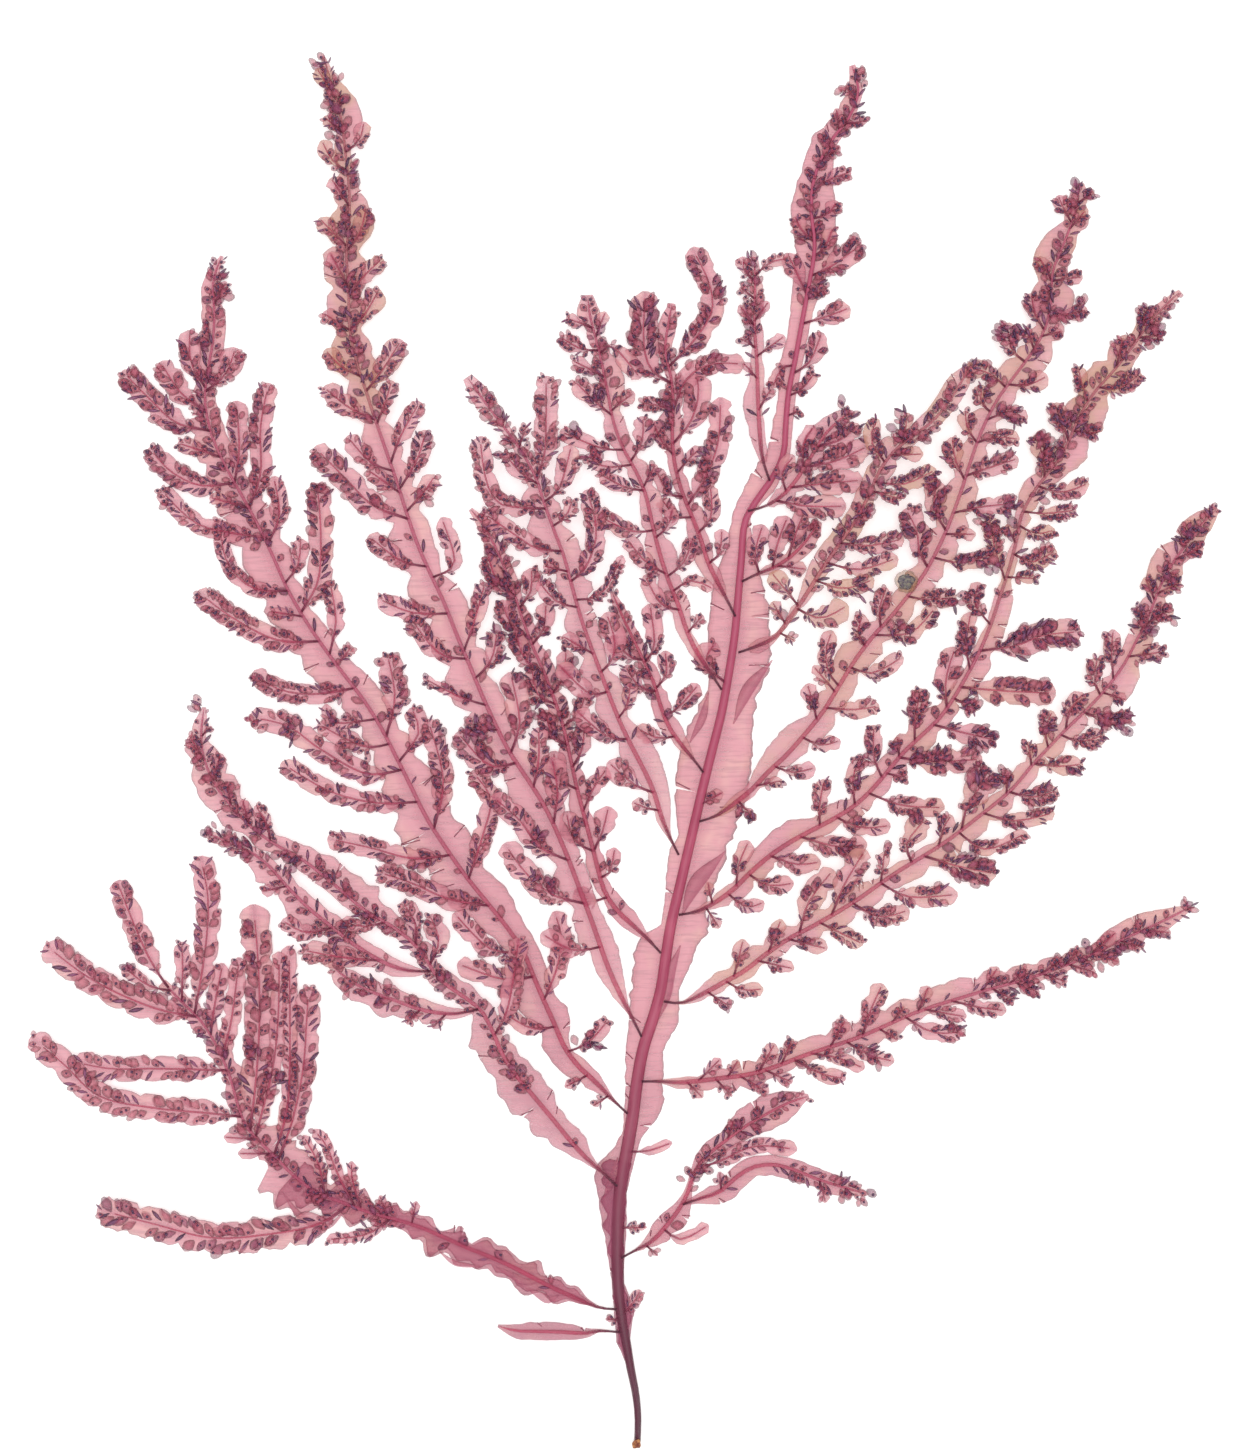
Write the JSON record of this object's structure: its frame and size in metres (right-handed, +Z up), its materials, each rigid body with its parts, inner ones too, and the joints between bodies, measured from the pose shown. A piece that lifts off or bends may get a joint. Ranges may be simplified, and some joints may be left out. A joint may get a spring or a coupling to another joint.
{
  "type": "red seaweed plant, pressed flat",
  "caption": "Whole red seaweed laid flat: dark stalk, winged main blade and spreading lateral fronds with leafy side shoots.",
  "frame": {"origin": "middle of the plant's outline, on the surface it lies on", "axes": "+Y in the direction of growth from holdfast to tips, +X to the right as seen from above, +Z up from the surface"},
  "size_m": [0.2024, 0.2368, 0.0072],
  "materials": {
    "pink_membrane": "thin dry seaweed membrane, soft sheen, lets light through",
    "maroon_stalk": "dry seaweed stalk and midrib, matt to satin",
    "brown_membrane": "bleached greenish brown seaweed membrane, soft sheen"
  },
  "bodies": {
    "root": {"main_axis": "maroon_stalk", "frond_left_01": "pink_membrane", "frond_left_02": "pink_membrane", "frond_left_03": "pink_membrane", "frond_left_04": "pink_membrane", "frond_left_05": "pink_membrane", "frond_left_06": "pink_membrane", "frond_left_07": "pink_membrane", "frond_left_08": "pink_membrane", "frond_left_09": "pink_membrane", "frond_left_10": "pink_membrane", "frond_left_11": "pink_membrane", "frond_right_01": "pink_membrane", "frond_right_02": "pink_membrane", "frond_right_03": "pink_membrane", "frond_right_04": "pink_membrane", "frond_right_05": "pink_membrane", "frond_right_06": "brown_membrane", "frond_right_07": "pink_membrane", "frond_right_08": "pink_membrane"}
  },
  "joints": []
}
